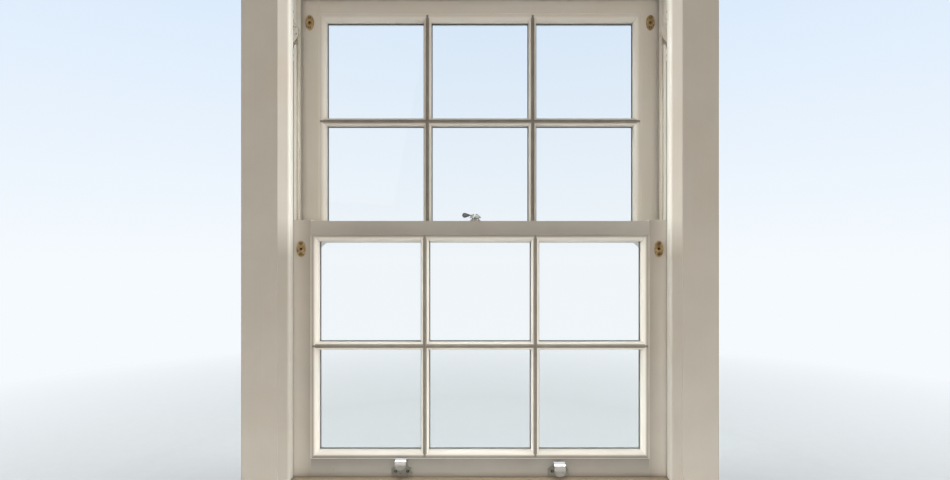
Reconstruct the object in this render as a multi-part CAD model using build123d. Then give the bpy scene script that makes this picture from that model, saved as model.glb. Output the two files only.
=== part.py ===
from build123d import *
import math
import os

# Six-over-six sliding sash window in a boxed frame, closed and unlocked.
# Millimetres, +X right and +Z up as seen from the room, which lies towards -Y.
# Origin: middle of the sill's underside, in the plane of the parting beads.

# Opening
opening_width = 790.0
opening_height = 1028.0
sash_seat_z = 70.0
side_clearance = 2.0
running_gap = 1.5
seat_gap = 0.3

# Sashes
sash_thickness = 45.0
stile_width = 57.0
top_rail_height = 52.3
bottom_rail_height = 57.5
lower_meeting_height = 42.0
upper_meeting_height = 44.0
stile_rise = 2.0
moulding_width = 14.0
quirk_depth = 2.0
ovolo_radius = 12.5
glass_depth = 18.0
rebate_width = 7.0
bar_width = 16.0
bar_nose_width = 4.5
bar_nose_depth = 1.5
bar_quirk_depth = 3.5
bar_tongue_width = 4.0
glass_thickness = 3.0
glass_cover = 5.0
meeting_groove_depth = 6.0
putty_past_sight = 2.0
putty_top_clearance = 1.5
putty_edge = 1.0
putty_below_face = 1.0
bar_scribe = 12.0
tenon_length = 26.0
tenon_thickness = 15.0
tenon_shoulder = 8.0
splay_top_y = 3.0
splay_run = 4.0
splay_gap = 0.6
splay_side_gap = 3.0
horn_length = 45.0
horn_start_step = 10.0
horn_waist_step = 34.0
horn_tip_step = 50.0
horn_waist_share = 0.58
horn_hollow = 1.0
weather_angle = 8.0

# Boxed frame
pulley_stile_thickness = 20.0
stile_housing_depth = 24.0
head_thickness = 22.0
head_housing_depth = 8.0
lining_thickness = 20.0
outside_lining_thickness = 18.0
lining_tongue = 5.0
lining_tongue_thickness = 8.0
lining_past_back = 6.0
frame_top_above_head = 60.0
box_width = 54.0
back_lining_thickness = 10.0
outside_lining_reveal = 13.0
staff_bead_width = 25.0
staff_bead_lap = 9.0
staff_bead_seat = 12.0
staff_nose_radius = 7.0
parting_bead_thickness = 8.0
parting_bead_projection = 10.0
parting_bead_groove = 8.0
parting_slip_thickness = 3.0
parting_slip_margin = 6.0
parting_slip_bottom_z = 170.0
pocket_bottom_z = 112.0
pocket_height = 290.0
pocket_bevel = 8.0
pocket_joint = 0.3
pocket_screw_height = 20.0

# Sill
sill_lap = 6.4
sill_ledge_drop = 18.0
sill_nose_y = 115.0
sill_step = 6.0
sill_step_behind_bead = 3.0
sill_nose_radius = 6.0
drip_groove_radius = 4.0
drip_groove_inset = 14.0

# Pulleys, cords and weights
cord_diameter = 6.0
cord_edge_gap = 8.0
wheel_pitch_radius = 26.0
wheel_rim_radius = 28.5
wheel_width = 11.0
wheel_groove_width = 8.4
wheel_groove_floor = 4.4
wheel_groove_gap = 0.1
wheel_web_recess = 1.5
wheel_hub_radius = 8.0
wheel_web_radius = 19.0
wheel_bore_gap = 0.1
wheel_side_gap = 0.5
axle_diameter = 6.0
pulley_below_head = 95.0
case_wall = 2.0
case_half_height = 31.0
case_corner_radius = 14.0
case_back_gap = 1.0
face_plate_height = 116.0
face_plate_width = 25.0
face_plate_thickness = 2.5
face_plate_screw_inset = 12.0
knot_below_top = 200.0
knot_radius = 6.5
knot_hole_radius = 9.0
knot_hole_depth = 9.0
cord_groove_width = 16.0
cord_groove_depth = 14.0
weight_diameter = 36.0
lower_weight_length = 425.0
upper_weight_length = 440.0
lower_weight_below_pulley = 70.0
upper_weight_above_sill = 26.0
weight_dome_height = 10.0
weight_foot_chamfer = 2.0
weight_bore_gap = 0.8
weight_pocket_depth = 20.0
weight_pocket_height = 20.0

# Stop plates, oval, on the stiles' room faces
stop_plate_width = 18.5
stop_plate_height = 33.0
stop_plate_thickness = 1.5
stop_plate_from_edge = 23.0
stop_plate_below_top = 58.0
stop_socket_radius = 5.0
stop_socket_bore_radius = 3.0
stop_socket_length = 18.0
stop_screw_offset = 10.6

# Hook lifts on the bottom rail
lift_offset = 161.5
lift_plate_width = 42.0
lift_plate_height = 15.0
lift_above_rail_bottom = 10.0
lift_thickness = 2.6
lift_strap_width = 22.0
lift_shoulder_radius = 6.0
lift_shoulder_slope = 2.0
lift_corner = 1.0
lift_tongue_radius = 10.6
arc_inset = 0.3
left_lift_height = 38.0
left_lift_reach = 25.0
left_lift_drop = 19.0
right_lift_height = 32.0
right_lift_reach = 31.0
right_lift_drop = 24.0
lift_screw_offset = 12.4
lift_screw_height = 8.0

# Fastener on the meeting rails
fastener_x = -10.2
fastener_y = -5.0
base_length = 56.0
base_width = 19.0
base_centre_offset = 1.7
base_thickness = 2.0
base_end_radius = 7.6
boss_foot_radius = 8.0
boss_height = 4.8
boss_wing_foot = 12.6
boss_wing_top = 8.8
boss_wing_width = 10.0
post_radius = 7.6
post_height = 2.8
pivot_radius = 2.5
pivot_gap = 0.05
lever_gap = 0.05
lever_rim_height = 1.6
lever_hub_radius = 9.4
lever_hub_height = 8.6
lever_top_radius = 4.0
lever_heel_length = 11.4
lever_heel_height = 2.2
nose_length = 12.1
nose_tip_height = 1.6
nose_half_width = 3.2
nose_thickness = 3.4
arm_radius = 1.5
arm_height = 6.0
knob_distance = 19.8
knob_length = 17.0
knob_radius = 5.4
pole_radius = 0.5
pin_cover = 2.0
keep_length = 30.0
keep_width = 15.0
keep_thickness = 1.5
keep_gap = 0.5
keep_lip_thickness = 2.0
keep_lip_reach = 7.0
keep_post_width = 4.0
keep_nose_gap = 3.0

# Screws
screw_head_radius = 3.4
screw_shank_radius = 1.6
screw_length = 16.0
screw_slot_width = 0.9
screw_slot_depth = 0.8

# Places worked out from the sizes
half_opening = opening_width / 2
sash_half_width = half_opening - side_clearance
shoulder_x = sash_half_width - stile_width + moulding_width
sight_x = sash_half_width - stile_width
bead_half = parting_bead_thickness / 2
upper_room_y = bead_half + running_gap
lower_room_y = -(bead_half + running_gap + sash_thickness)
channel_y = bead_half + 2 * running_gap + sash_thickness
room_face_y = -(channel_y + lining_thickness)
outer_face_y = channel_y + outside_lining_thickness
lower_centre_y = lower_room_y + sash_thickness / 2
upper_centre_y = upper_room_y + sash_thickness / 2

sash_height = (opening_height + lower_meeting_height) / 2
lower_bottom_z = sash_seat_z
lower_top_z = lower_bottom_z + sash_height
upper_top_z = sash_seat_z + opening_height
upper_bottom_z = upper_top_z - sash_height
head_z = upper_top_z + seat_gap
frame_top_z = head_z + frame_top_above_head

lower_sight_bottom = lower_bottom_z + bottom_rail_height
lower_sight_top = lower_top_z - lower_meeting_height
upper_sight_bottom = upper_bottom_z + upper_meeting_height
upper_sight_top = upper_top_z - top_rail_height

pane_pitch = (2 * sight_x - 2 * bar_width) / 3 + bar_width
bar_x = pane_pitch / 2

weather_slope = math.tan(math.radians(weather_angle))
box_x = half_opening + pulley_stile_thickness
back_x = box_x + box_width
frame_half_width = back_x + back_lining_thickness + lining_past_back
pulley_z = head_z - pulley_below_head
cord_x = sash_half_width - cord_edge_gap - cord_diameter / 6
wheel_x = cord_x + wheel_pitch_radius
weight_x = wheel_x + wheel_pitch_radius
case_back_x = weight_x + cord_diameter / 2 + case_back_gap + case_wall
sill_bead_top_z = sash_seat_z + sill_lap
sill_ledge_z = sash_seat_z - sill_ledge_drop
stop_plate_x = sash_half_width - stop_plate_from_edge
bead_inner_x = half_opening - staff_bead_lap
parting_inner_x = half_opening - parting_bead_projection
meeting_half_length = parting_inner_x - splay_side_gap
sill_step_y = sill_step_behind_bead - bead_half
lever_foot_z = lower_top_z + base_thickness + boss_height + post_height + lever_gap
nodes = {}


def block(x0, x1, y0, y1, z0, z1):
    return Pos((x0 + x1) / 2, (y0 + y1) / 2, (z0 + z1) / 2) * Box(x1 - x0, y1 - y0, z1 - z0)


def prism(points, direction):
    face = Face(Wire.make_polygon([Vector(*p) for p in points], close=True))
    return Solid.extrude(face, Vector(*direction))


def outline_xz(points, y0, y1):
    return prism([(x, y0, z) for x, z in points], (0, y1 - y0, 0))


def outline_yz(points, x0, x1):
    return prism([(x0, y, z) for y, z in points], (x1 - x0, 0, 0))


def left(shape):
    return mirror(shape, about=Plane.YZ)


def both(shape):
    return [shape, left(shape)]


def rod(start, direction, length, radius):
    plane = Plane(origin=start, z_dir=direction)
    return Solid.make_cylinder(radius, length, plane)


def cut(shape, tools):
    for tool in tools:
        shape = shape - tool
    return shape


def keep(name, *shapes):
    """Store the node as one solid, or as a group of separate solids."""
    solids = [solid for shape in shapes for solid in shape.solids()]
    nodes[name] = solids


# Sections: u runs from the sight line into the wood, v from the room face outwards.
def moulding_line():
    centre = (ovolo_radius, quirk_depth + ovolo_radius)
    return CenterArc(centre, ovolo_radius, 180, 90)


def rebated_section(width):
    rest = Polyline(
        (ovolo_radius, quirk_depth), (moulding_width, quirk_depth), (moulding_width, 0),
        (width, 0), (width, sash_thickness), (rebate_width, sash_thickness),
        (rebate_width, glass_depth), (0, glass_depth), (0, quirk_depth + ovolo_radius),
    )
    return make_face(moulding_line() + rest)


def grooved_section(width, reach_top, reach_bottom):
    """Meeting rail of the lower sash: the glass enters a groove in its underside."""
    rest = Polyline(
        (ovolo_radius, quirk_depth), (moulding_width, quirk_depth), (moulding_width, 0),
        (width, 0), (width, reach_top), (0, reach_bottom), (0, glass_depth + glass_thickness),
        (meeting_groove_depth, glass_depth + glass_thickness),
        (meeting_groove_depth, glass_depth), (0, glass_depth), (0, quirk_depth + ovolo_radius),
    )
    return make_face(moulding_line() + rest)


def bar_section():
    half = bar_width / 2
    nose = bar_nose_width / 2
    radius = half - nose
    tongue = bar_tongue_width / 2
    right_arc = CenterArc((nose, bar_quirk_depth + radius), radius, 270, 90)
    left_arc = CenterArc((-nose, bar_quirk_depth + radius), radius, 180, 90)
    front = Polyline(
        (nose, bar_quirk_depth), (nose, bar_nose_depth), (-nose, bar_nose_depth),
        (-nose, bar_quirk_depth),
    )
    back = Polyline(
        (half, bar_quirk_depth + radius), (half, glass_depth), (tongue, glass_depth),
        (tongue, sash_thickness), (-tongue, sash_thickness), (-tongue, glass_depth),
        (-half, glass_depth), (-half, bar_quirk_depth + radius),
    )
    return make_face(front + left_arc + back + right_arc)


def upright(section, x, room_y, z0, z1):
    plane = Plane(origin=(x, room_y, z0), x_dir=(1, 0, 0), z_dir=(0, 0, 1))
    return extrude(plane * section, amount=z1 - z0)


def rail_up(section, room_y, sight_z, half_length):
    """A rail above the glass: its section's u points up."""
    plane = Plane(origin=(half_length, room_y, sight_z), x_dir=(0, 0, 1), z_dir=(-1, 0, 0))
    return extrude(plane * section, amount=2 * half_length)


def rail_down(section, room_y, sight_z, half_length):
    """A rail below the glass: its section's u points down."""
    plane = Plane(origin=(-half_length, room_y, sight_z), x_dir=(0, 0, -1), z_dir=(1, 0, 0))
    return extrude(plane * section, amount=2 * half_length)


def tenon(room_y, z0, z1):
    y0 = room_y + (sash_thickness - tenon_thickness) / 2
    return block(shoulder_x, shoulder_x + tenon_length, y0, y0 + tenon_thickness, z0, z1)


def cord_groove(room_y, sash_top_z, stile_top_z):
    """Groove for the cord in a stile's edge, and the hole that holds its knot."""
    middle = room_y + sash_thickness / 2
    knot_z = sash_top_z - knot_below_top
    bottom_x = sash_half_width - cord_groove_depth
    half = cord_groove_width / 2
    groove = block(bottom_x, sash_half_width, middle - half, middle + half, knot_z, stile_top_z)
    length = cord_groove_depth + knot_hole_depth
    hole = rod((sash_half_width - length, middle, knot_z), (1, 0, 0), length, knot_hole_radius)
    return groove + hole


def screw(start, direction):
    """Countersunk slotted screw; start is the middle of its head's flat face."""
    head = screw_head_radius - screw_shank_radius
    profile = Polyline(
        (0, 0), (screw_head_radius, 0), (screw_shank_radius, -head),
        (screw_shank_radius, -screw_length), (0, -screw_length), close=True,
    )
    turned = revolve(make_face(Plane.XZ * profile), Axis.Z)
    slot = Box(3 * screw_head_radius, screw_slot_width, 2 * screw_slot_depth)
    plane = Plane(origin=start, z_dir=[-d for d in direction])
    return plane.location * (turned - slot)


def screws(places, direction):
    return [screw(place, direction) for place in places]


# Stop plates
def stop_plate(room_y, top_z):
    z = top_z - stop_plate_below_top
    facing = Plane(origin=(stop_plate_x, room_y, z), x_dir=(1, 0, 0), z_dir=(0, -1, 0))
    oval = facing * Ellipse(stop_plate_width / 2, stop_plate_height / 2)
    plate = extrude(oval, amount=stop_plate_thickness)
    centre = (stop_plate_x, room_y - stop_plate_thickness, z)
    total = stop_plate_thickness + stop_socket_length
    barrel = rod((stop_plate_x, room_y, z), (0, 1, 0), stop_socket_length, stop_socket_radius)
    bore = rod(centre, (0, 1, 0), total - case_wall, stop_socket_bore_radius)
    return plate + barrel - bore


def stop_hole(room_y, top_z):
    z = top_z - stop_plate_below_top
    return rod((stop_plate_x, room_y, z), (0, 1, 0), stop_socket_length, stop_socket_radius)


def stop_screws(room_y, top_z):
    z = top_z - stop_plate_below_top
    y = room_y - stop_plate_thickness
    return screws([(stop_plate_x, y, z + s * stop_screw_offset) for s in (-1, 1)], (0, 1, 0))


# Sash joinery
def lower_sash_outline_right():
    low = lower_sight_bottom
    high = lower_sight_top
    return [
        (sash_half_width, low - moulding_width), (shoulder_x, low - moulding_width), (sight_x, low),
        (sight_x, high), (shoulder_x, high + moulding_width), (sash_half_width, high + moulding_width),
    ]


def foot(x0, x1):
    """Wood below the level foot line that follows the sill's slope."""
    drop = sash_thickness * weather_slope
    y0 = lower_room_y
    y1 = lower_room_y + sash_thickness
    return outline_yz([(y0, lower_bottom_z), (y1, lower_bottom_z), (y1, lower_bottom_z - drop)], x0, x1)


def lower_stile():
    y0 = lower_room_y
    y1 = y0 + sash_thickness
    section = rebated_section(stile_width)
    moulded = upright(section, sight_x, y0, lower_bottom_z, lower_top_z)
    moulded = moulded & outline_xz(lower_sash_outline_right(), y0, y1)
    low_end = lower_sight_bottom - moulding_width
    low = block(shoulder_x, sash_half_width, y0, y1, lower_bottom_z, low_end)
    high_end = lower_sight_top + moulding_width
    high = block(shoulder_x, sash_half_width, y0, y1, high_end, lower_top_z + stile_rise)
    return moulded + low + high + foot(shoulder_x, sash_half_width)


def lower_bottom_rail():
    y0 = lower_room_y
    rail = rail_down(rebated_section(bottom_rail_height), y0, lower_sight_bottom, shoulder_x)
    low = lower_sight_bottom
    outline = [
        (-shoulder_x, lower_bottom_z), (shoulder_x, lower_bottom_z), (shoulder_x, low - moulding_width),
        (sight_x, low), (-sight_x, low), (-shoulder_x, low - moulding_width),
    ]
    rail = rail & outline_xz(outline, y0, y0 + sash_thickness)
    return rail + foot(-shoulder_x, shoulder_x)


def lower_meeting_rail():
    y0 = lower_room_y
    reach = splay_top_y - y0
    section = grooved_section(lower_meeting_height, reach, reach - splay_run)
    full = meeting_half_length
    rail = rail_up(section, y0, lower_sight_top, full)
    high = lower_sight_top
    outline = [
        (-shoulder_x, lower_top_z), (shoulder_x, lower_top_z), (shoulder_x, high + moulding_width),
        (sight_x, high), (-sight_x, high), (-shoulder_x, high + moulding_width),
    ]
    main = rail & outline_xz(outline, y0, y0 + sash_thickness)
    lap = rail & block(-full, full, y0 + sash_thickness, splay_top_y, high, lower_top_z)
    return main + lap


def horn():
    """Ogee foot of an upper stile: a sloping hollow from its meeting rail, then a full curve to the tip."""
    z = upper_bottom_z
    bottom = z - horn_length
    start = (sight_x + horn_start_step, z)
    waist = (sight_x + horn_waist_step, z - horn_length * horn_waist_share)
    tip = (sight_x + horn_tip_step, bottom)
    hollow_middle = ((start[0] + waist[0]) / 2 + horn_hollow, (z + waist[1]) / 2 + horn_hollow)
    full_middle = ((waist[0] + tip[0]) / 2 - horn_hollow, (waist[1] + bottom) / 2 - horn_hollow)
    hollow = ThreePointArc(start, hollow_middle, waist)
    full = ThreePointArc(waist, full_middle, tip)
    rest = Polyline(tip, (sash_half_width, bottom), (sash_half_width, z), start)
    face = make_face(Plane.XZ * (hollow + full + rest))
    return Pos(0, upper_room_y, 0) * extrude(face, amount=sash_thickness, dir=(0, 1, 0))


def upper_stile():
    y0 = upper_room_y
    y1 = y0 + sash_thickness
    section = rebated_section(stile_width)
    moulded = upright(section, sight_x, y0, upper_bottom_z, upper_top_z)
    high = upper_sight_top
    outline = [
        (sash_half_width, upper_sight_bottom), (sight_x, upper_sight_bottom), (sight_x, high),
        (shoulder_x, high + moulding_width), (sash_half_width, high + moulding_width),
    ]
    moulded = moulded & outline_xz(outline, y0, y1)
    top = block(shoulder_x, sash_half_width, y0, y1, high + moulding_width, upper_top_z)
    low = block(shoulder_x, sash_half_width, y0, y1, upper_bottom_z, upper_sight_bottom)
    return moulded + top + low + horn()


def upper_top_rail():
    y0 = upper_room_y
    high = upper_sight_top
    rail = rail_up(rebated_section(top_rail_height), y0, high, shoulder_x)
    outline = [
        (-shoulder_x, upper_top_z), (shoulder_x, upper_top_z), (shoulder_x, high + moulding_width),
        (sight_x, high), (-sight_x, high), (-shoulder_x, high + moulding_width),
    ]
    return rail & outline_xz(outline, y0, y0 + sash_thickness)


def splay_y(z):
    """Room-side face of the upper meeting rail, parallel to the lower rail's splay."""
    slope = splay_run / lower_meeting_height
    return splay_top_y + splay_gap + (z - lower_top_z) * slope


def upper_meeting_rail():
    y0 = upper_room_y
    y1 = y0 + sash_thickness
    z0 = upper_bottom_z
    z1 = upper_sight_bottom
    shelf = y0 + glass_depth
    main = [
        (y0, z0), (y1, z0), (y1, z1 - rebate_width), (shelf, z1 - rebate_width), (shelf, z1), (y0, z1),
    ]
    lap = [(splay_y(z0), z0), (y0, z0), (y0, z1), (splay_y(z1), z1)]
    full = meeting_half_length
    return outline_yz(main, -shoulder_x, shoulder_x) + outline_yz(lap, -full, full)


def glazing_bars(room_y, low, high, rails, stile):
    """Two uprights through the sash, and a cross bar in three pieces scribed to them."""
    section = bar_section()
    over = bar_scribe
    uprights = []
    for x in (-bar_x, bar_x):
        uprights.append(cut(upright(section, x, room_y, low - over, high + over), rails))
    middle = (low + high) / 2
    spans = [(-sight_x - over, -bar_x), (-bar_x, bar_x), (bar_x, sight_x + over)]
    cross = []
    for x0, x1 in spans:
        plane = Plane(origin=(x0, room_y, middle), x_dir=(0, 0, -1), z_dir=(1, 0, 0))
        piece = extrude(plane * section, amount=x1 - x0)
        cross.append(cut(piece, uprights + both(stile)))
    return uprights + cross


def pane_cells(low, high):
    pane_width = pane_pitch - bar_width
    pane_height = (high - low - bar_width) / 2
    cells = []
    for column in (-1, 0, 1):
        for z0 in (low, high - pane_height):
            x0 = column * pane_pitch - pane_width / 2
            cells.append((column, z0 == low, x0, x0 + pane_width, z0, z0 + pane_height))
    return cells


def panes(room_y, low, high):
    y0 = room_y + glass_depth
    c = glass_cover
    return [
        block(x0 - c, x1 + c, y0, y0 + glass_thickness, z0 - c, z1 + c)
        for column, bottom, x0, x1, z0, z1 in pane_cells(low, high)
    ]


def putty_frame(cell, y_glass, y_outer, grooved):
    """Sloping fillet of putty round one pane; a grooved top edge has none."""
    column, bottom, x0, x1, z0, z1 = cell
    tongue = (bar_width - bar_tongue_width) / 2
    to_left = rebate_width if column == -1 else tongue
    to_right = rebate_width if column == 1 else tongue
    to_low = rebate_width if bottom else tongue
    to_high = tongue if bottom else rebate_width
    top = 0 if grooved and not bottom else to_high
    outer = [x0 - to_left, x1 + to_right, z0 - to_low, z1 + top]
    ring = block(outer[0], outer[1], y_glass, y_outer, outer[2], outer[3])
    p = putty_past_sight
    e = putty_edge
    inner_top = z1 + putty_top_clearance if grooved and not bottom else z1 - p
    inner = rectangle_xz(x0 + p, x1 - p, z0 + p, inner_top, y_glass)
    wide = rectangle_xz(outer[0] + e, outer[1] - e, outer[2] + e, z1 + to_high - e, y_outer)
    return ring - Solid.make_loft([inner, wide], True)


def rectangle_xz(x0, x1, z0, z1, y):
    corners = [(x0, z0), (x1, z0), (x1, z1), (x0, z1)]
    return Wire.make_polygon([Vector(x, y, z) for x, z in corners], close=True)


def putty(room_y, low, high, grooved):
    y_glass = room_y + glass_depth + glass_thickness
    y_outer = room_y + sash_thickness - putty_below_face
    return [putty_frame(cell, y_glass, y_outer, grooved) for cell in pane_cells(low, high)]


# Hook lifts
def lift(x, height, reach, drop):
    """Plate with sloping shoulders; its strap rises, curls into the room and ends in a tongue."""
    t = lift_thickness
    y_back = lower_room_y
    z0 = lower_bottom_z + lift_above_rail_bottom
    half = lift_plate_width / 2
    strap = lift_strap_width / 2
    shoulder = z0 + lift_plate_height
    r = lift_shoulder_radius
    middle = z0 + height / 2
    slope_z = shoulder - lift_shoulder_slope
    c = lift_corner
    top = shoulder + r
    strap_line = Polyline((-strap, top), (-strap, middle), (strap, middle), (strap, top))
    right_curve = shoulder_curve(strap, shoulder, r)
    left_curve = shoulder_curve(-strap, shoulder, -r)
    base_line = Polyline(
        (strap + r, shoulder), (half, slope_z), (half, z0 + c), (half - c, z0), (-half + c, z0),
        (-half, z0 + c), (-half, slope_z), (-strap - r, shoulder),
    )
    face = make_face(Plane.XZ * (strap_line + right_curve + base_line + left_curve))
    plate = Pos(x, y_back, 0) * extrude(face, amount=t, dir=(0, -1, 0))
    hook = Pos(x - strap, y_back, z0) * lift_hook(height, reach, drop)
    return plate + hook


def shoulder_curve(x, z, run):
    """Hollow quarter curve from the strap's edge down to the plate's shoulder."""
    rise = abs(run)
    return ThreePointArc((x, z + rise), (x + run * arc_inset, z + rise * arc_inset), (x + run, z))


def lift_hook(height, reach, drop):
    """Bent strip in the plane across the rail, from the plate's middle to the tongue's end."""
    t = lift_thickness
    outer_radius = reach / 2
    centre = Vector(-outer_radius, height - outer_radius)
    low = height / 3
    end = centre.Y - (drop - outer_radius)
    outer = CenterArc(centre, outer_radius, 0, 180)
    inner = CenterArc(centre, outer_radius - t, 0, 180)
    inner_x = -t
    tongue_x = -reach
    tip = ThreePointArc((tongue_x, end), (tongue_x + t / 2, end - t / 2), (tongue_x + t, end))
    sides = Polyline((0, centre.Y), (0, low), (inner_x, low), (inner_x, centre.Y))
    front = Line((tongue_x, centre.Y), (tongue_x, end))
    back = Line((tongue_x + t, end), (tongue_x + t, centre.Y))
    profile = make_face(outer + front + tip + back + inner + sides)
    strip = extrude(Plane.YZ * profile, amount=lift_strap_width)
    return round_tongue(strip, tongue_x, end)


def round_tongue(strip, tongue_x, end):
    """Round the tongue's free end, seen from the room."""
    r = lift_tongue_radius
    w = lift_strap_width
    low = end - lift_thickness / 2
    y0 = tongue_x - lift_thickness
    y1 = tongue_x + 2 * lift_thickness
    corner_cuts = []
    for x0, x1, x_centre in ((0, r, r), (w - r, w, w - r)):
        square = block(x0, x1, y0, y1, low, low + r)
        disc = rod((x_centre, y0, low + r), (0, 1, 0), y1 - y0, r)
        corner_cuts.append(square - disc)
    return cut(strip, corner_cuts)


def lift_screws(x):
    z = lower_bottom_z + lift_above_rail_bottom + lift_screw_height
    y = lower_room_y - lift_thickness
    return screws([(x + s * lift_screw_offset, y, z) for s in (-1, 1)], (0, 1, 0))


# Fastener
def fastener_base():
    """Plate with a conical boss, a post and the pivot pin that the lever turns on."""
    z = lower_top_z
    x = fastener_x + base_centre_offset
    y1 = splay_top_y
    plate = block(x - base_length / 2, x + base_length / 2, y1 - base_width, y1, z, z + base_thickness)
    plate = fillet(plate.edges().filter_by(Axis.Z), base_end_radius)
    top = boss_height + post_height
    profile = Polyline(
        (0, 0), (boss_foot_radius, 0), (post_radius, boss_height), (post_radius, top), (0, top),
        close=True,
    )
    foot_z = z + base_thickness
    boss = revolve(make_face(Plane.XZ * profile), Axis.Z)
    foot, crest, side = boss_wing_foot, boss_wing_top, boss_wing_width / 2
    wings = outline_xz([(-foot, 0), (foot, 0), (crest, boss_height), (-crest, boss_height)], -side, side)
    boss = Pos(fastener_x, fastener_y, foot_z) * (boss + wings)
    pin_height = lever_gap + lever_hub_height - pin_cover
    pin = rod((fastener_x, fastener_y, foot_z + top), (0, 0, 1), pin_height, pivot_radius)
    return plate + boss + pin


def base_screws():
    z = lower_top_z + base_thickness
    x = fastener_x + base_centre_offset
    reach = base_length / 2 - screw_head_radius * 2
    y = splay_top_y - base_width / 2
    return screws([(x + s * reach, y, z) for s in (-1, 1)], (0, 0, -1))


def fastener_lever():
    """Conical hub with a wedge nose at the right, a heel and a pear knob on a thin arm at the left."""
    h = lever_hub_height
    rim = lever_rim_height
    r = lever_hub_radius
    t = lever_top_radius
    hub = revolve(make_face(Plane.XZ * Polyline((0, 0), (r, 0), (r, rim), (t, h), (0, h), close=True)), Axis.Z)
    w = nose_half_width
    ridge = outline_xz([
        (-lever_heel_length, 0), (nose_length, 0), (nose_length, nose_tip_height), (t, h), (-t, h),
        (-lever_heel_length, lever_heel_height),
    ], -w, w)
    bore = rod((0, 0, 0), (0, 0, 1), h - pin_cover + pivot_gap, pivot_radius + pivot_gap)
    arm = Pos(0, 0, arm_height) * pear_arm()
    return Pos(fastener_x, fastener_y, lever_foot_z) * (hub + ridge + arm - bore)


def pear_arm():
    """Arm and pear knob turned about X: a thin neck, a cone, and a round free end."""
    n = arm_radius
    start = -(knob_distance - knob_length / 2)
    centre = start - knob_length + knob_radius
    span = start - centre
    turn = math.atan2(n, span) + math.acos(knob_radius / math.hypot(span, n))
    last = math.pi - math.asin(pole_radius / knob_radius)
    touch, pole = [(centre + knob_radius * math.cos(a), knob_radius * math.sin(a)) for a in (turn, last)]
    cap = CenterArc((centre, 0), knob_radius, math.degrees(turn), math.degrees(last - turn))
    rest = Polyline(pole, (pole[0], 0), (-pivot_radius, 0), (-pivot_radius, n), (start, n), touch)
    return revolve(make_face(cap + rest), Axis.X)


def fastener_keep():
    """Plate on the upper meeting rail with a lip that the lever's nose turns in under."""
    z = upper_sight_bottom
    y0 = upper_room_y
    x0 = fastener_x - keep_length / 2
    plate = block(x0, x0 + keep_length, y0, y0 + keep_width, z, z + keep_thickness)
    lip_z = lever_foot_z + nose_thickness + keep_gap
    y1 = fastener_y + nose_length + keep_nose_gap
    y2 = y1 + keep_post_width
    left_x = fastener_x - keep_lip_reach
    right_x = fastener_x + keep_lip_reach
    post = block(left_x, right_x, y1, y2, z, lip_z)
    lip = block(left_x, right_x, y0, y2, lip_z, lip_z + keep_lip_thickness)
    return plate + post + lip


def keep_screws():
    z = upper_sight_bottom + keep_thickness
    reach = keep_length / 2 - screw_head_radius
    y = upper_room_y + keep_width / 2
    return screws([(fastener_x + s * reach, y, z) for s in (-1, 1)], (0, 0, -1))


# Pulleys, cords and weights
def face_plate(y):
    """Plate with round ends, let into the pulley stile's face."""
    half = face_plate_width / 2
    end = face_plate_height / 2 - half
    x0 = half_opening
    t = face_plate_thickness
    plate = block(x0, x0 + t, y - half, y + half, pulley_z - end, pulley_z + end)
    for z in (pulley_z - end, pulley_z + end):
        plate = plate + rod((x0, y, z), (1, 0, 0), t, half)
    return plate


def pulley_case(y):
    half_inner = wheel_width / 2 + wheel_side_gap
    half_outer = half_inner + case_wall
    x0 = half_opening
    h = case_half_height
    body = block(x0, case_back_x, y - half_outer, y + half_outer, pulley_z - h, pulley_z + h)
    corners = body.edges().filter_by(Axis.Y).sort_by(Axis.X)[-2:]
    body = fillet(corners, case_corner_radius)
    inside_x = case_back_x - case_wall
    slot = block(x0, inside_x, y - half_inner, y + half_inner, pulley_z - h, pulley_z + h)
    return face_plate(y) + body - slot - pulley_axle(y)


def pulley_opening(y):
    """What the pulley stile loses to a pulley: the plate's recess and the case's slot."""
    half_outer = wheel_width / 2 + wheel_side_gap + case_wall
    h = case_half_height
    slot = block(half_opening, box_x, y - half_outer, y + half_outer, pulley_z - h, pulley_z + h)
    return face_plate(y) + slot


def pulley_axle(y):
    half_outer = wheel_width / 2 + wheel_side_gap + case_wall
    return rod((wheel_x, y - half_outer, pulley_z), (0, 1, 0), 2 * half_outer, axle_diameter / 2)


def pulley_wheel(y):
    w = wheel_width / 2
    g = wheel_groove_width / 2
    floor = wheel_groove_floor / 2
    root = wheel_pitch_radius - cord_diameter / 2 - wheel_groove_gap
    bore = axle_diameter / 2 + wheel_bore_gap
    rim = wheel_rim_radius
    web = wheel_web_radius
    hub = wheel_hub_radius
    v = w - wheel_web_recess
    profile = Polyline(
        (rim, g), (root, floor), (root, -floor), (rim, -g),
        (rim, -w), (web, -w), (web, -v), (hub, -v), (hub, -w), (bore, -w),
        (bore, w), (hub, w), (hub, v), (web, v), (web, w), (rim, w), close=True,
    )
    turned = revolve(make_face(profile), Axis.Y)
    return Pos(wheel_x, y, pulley_z) * turned


def sash_cord(y, knot_z, weight_knot_z):
    """One cord from its knot in the sash over the wheel to its knot in the weight."""
    r = cord_diameter / 2
    sash_run = rod((cord_x, y, knot_z), (0, 0, 1), pulley_z - knot_z, r)
    weight_run = rod((weight_x, y, weight_knot_z), (0, 0, 1), pulley_z - weight_knot_z, r)
    circle = Plane(origin=(wheel_pitch_radius, 0, 0), z_dir=(0, 0, 1)) * Circle(r)
    over = revolve(circle, Axis.Y, -180)
    over = Pos(wheel_x, y, pulley_z) * over
    sash_knot = Pos(cord_x, y, knot_z) * Sphere(knot_radius)
    weight_knot = Pos(weight_x, y, weight_knot_z) * Sphere(knot_radius)
    return sash_run + over + weight_run + sash_knot + weight_knot


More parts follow.
